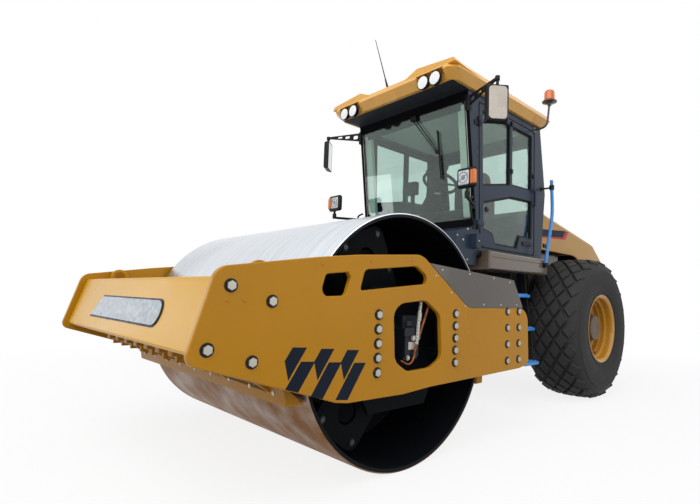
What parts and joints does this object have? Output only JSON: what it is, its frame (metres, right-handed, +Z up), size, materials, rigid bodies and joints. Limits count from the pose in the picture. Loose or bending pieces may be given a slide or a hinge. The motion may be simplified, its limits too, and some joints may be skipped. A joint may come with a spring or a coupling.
{
  "type": "single-drum road roller",
  "caption": "Articulated single-drum road roller: steel drum in a plate frame, cab with doors, lug-tyred rear wheels, tilting hood and steering cylinders.",
  "frame": {"origin": "on the ground under the middle of the machine", "axes": "+X forward to the drum, +Y to the left, +Z up"},
  "size_m": [5.9783, 2.307, 3.4409],
  "materials": {
    "frame_paint": "mustard enamel, semi-gloss",
    "hood_paint": "mustard enamel, semi-gloss",
    "roof_paint": "yellow enamel, semi-gloss",
    "cab_paint": "blue-grey enamel, satin",
    "dark_paint": "black chassis enamel, satin",
    "deck_paint": "grey-brown enamel, gloss",
    "step_paint": "blue enamel, gloss",
    "drum_steel": "rolled and turned steel",
    "rod_chrome": "hard chrome",
    "tyre_rubber": "matt rubber",
    "rim_paint": "mustard enamel, semi-gloss",
    "hub_paint": "grey-brown enamel, satin",
    "glass": "lightly tinted safety glass",
    "lamp_glass": "clear lens",
    "amber_lens": "amber lens",
    "black_plastic": "moulded, fine texture",
    "red_lens": "red lens",
    "seat_cloth": "woven seat cloth",
    "cast": "painted casting",
    "hose_rubber": "smooth hose rubber",
    "grille_paint": "grey enamel, satin"
  },
  "bodies": {
    "rear_frame": {"chassis": "dark_paint", "rear_axle": "dark_paint", "counterweight": "frame_paint", "tow_hitch": "dark_paint", "engine_block": "cast", "bay_panels": "deck_paint", "deck": "dark_paint", "step_boxes": "deck_paint", "ladder_frames": "dark_paint", "ladder_steps": "step_paint", "front_console": "cab_paint", "handrails": "step_paint", "cab_frame": "cab_paint", "windshield": "glass", "rear_glass": "glass", "roof": "roof_paint", "roof_lamps": "lamp_glass", "headlamps": "black_plastic", "mirrors": "black_plastic", "beacon": "amber_lens", "seat_base": "black_plastic", "seat_cushions": "seat_cloth", "steering_column": "black_plastic", "steering_wheel": "black_plastic", "tail_lamps": "red_lens", "door_hinges": "dark_paint", "aerial": "black_plastic", "wipers": "black_plastic"},
    "hood": {"hood": "hood_paint", "hood_grille": "grille_paint"},
    "yoke": {"yoke": "dark_paint"},
    "front_frame": {"side_plates": "frame_paint", "cover_panels": "deck_paint", "front_beam": "frame_paint", "rear_beam": "frame_paint", "lifting_eyes": "frame_paint", "scraper_front": "frame_paint", "scraper_rear": "frame_paint", "drum_mounts": "dark_paint", "drum_motors": "cast", "drum_hoses": "hose_rubber"},
    "drum": {"drum": "drum_steel"},
    "wheel_left": {"tyre_left": "tyre_rubber", "rim_left": "rim_paint", "hub_cap_left": "hub_paint"},
    "wheel_right": {"tyre_right": "tyre_rubber", "rim_right": "rim_paint", "hub_cap_right": "hub_paint"},
    "door_left": {"door_left": "cab_paint", "door_glass_left": "glass"},
    "door_right": {"door_right": "cab_paint", "door_glass_right": "glass"},
    "barrel_left": {"steer_barrel_left": "dark_paint"},
    "barrel_right": {"steer_barrel_right": "dark_paint"},
    "rod_left": {"steer_rod_left": "rod_chrome"},
    "rod_right": {"steer_rod_right": "rod_chrome"}
  },
  "joints": [
    {"name": "steer", "type": "hinge", "parent": "rear_frame", "child": "yoke", "pos_m": [0.13, 0, 0.75], "axis": [0, 0, 1], "range_deg": [-33, 33]},
    {"name": "oscillate", "type": "hinge", "parent": "yoke", "child": "front_frame", "pos_m": [0.44, 0, 0.75], "axis": [1, 0, 0], "range_deg": [-10, 10]},
    {"name": "drum_spin", "type": "hinge", "parent": "front_frame", "child": "drum", "pos_m": [1.64, 0, 0.7615], "axis": [0, 1, 0], "continuous": true},
    {"name": "wheel_spin_left", "type": "hinge", "parent": "rear_frame", "child": "wheel_left", "pos_m": [-1.37, 0.795, 0.74], "axis": [0, 1, 0], "continuous": true},
    {"name": "wheel_spin_right", "type": "hinge", "parent": "rear_frame", "child": "wheel_right", "pos_m": [-1.37, -0.795, 0.74], "axis": [0, 1, 0], "continuous": true},
    {"name": "door_left_hinge", "type": "hinge", "parent": "rear_frame", "child": "door_left", "pos_m": [0.428, 0.714, 2.1], "axis": [0, 0, -1], "range_deg": [0, 85]},
    {"name": "door_right_hinge", "type": "hinge", "parent": "rear_frame", "child": "door_right", "pos_m": [0.428, -0.714, 2.1], "axis": [0, 0, 1], "range_deg": [0, 85]},
    {"name": "hood_tilt", "type": "hinge", "parent": "rear_frame", "child": "hood", "pos_m": [-0.9, 0, 1.965], "axis": [0, 1, 0], "range_deg": [0, 50]},
    {"name": "barrel_left_swing", "type": "hinge", "parent": "rear_frame", "child": "barrel_left", "pos_m": [-0.45, 0.33, 0.75], "axis": [0, 0, 1], "range_deg": [-7.8, 7.8]},
    {"name": "barrel_right_swing", "type": "hinge", "parent": "rear_frame", "child": "barrel_right", "pos_m": [-0.45, -0.33, 0.75], "axis": [0, 0, 1], "range_deg": [-7.8, 7.8]},
    {"name": "rod_left_slide", "type": "slide", "parent": "barrel_left", "child": "rod_left", "axis": [0.9993, -0.0384, 0], "range_m": [-0.1755, 0.1755]},
    {"name": "rod_right_slide", "type": "slide", "parent": "barrel_right", "child": "rod_right", "axis": [0.9993, 0.0384, 0], "range_m": [-0.1755, 0.1755]}
  ],
  "couplings": [
    {"joint": "barrel_left_swing", "follows": "steer", "ratio": 0.2213},
    {"joint": "barrel_right_swing", "follows": "steer", "ratio": 0.2213},
    {"joint": "rod_left_slide", "follows": "steer", "m_per_rad": -0.2995},
    {"joint": "rod_right_slide", "follows": "steer", "m_per_rad": 0.2995}
  ]
}
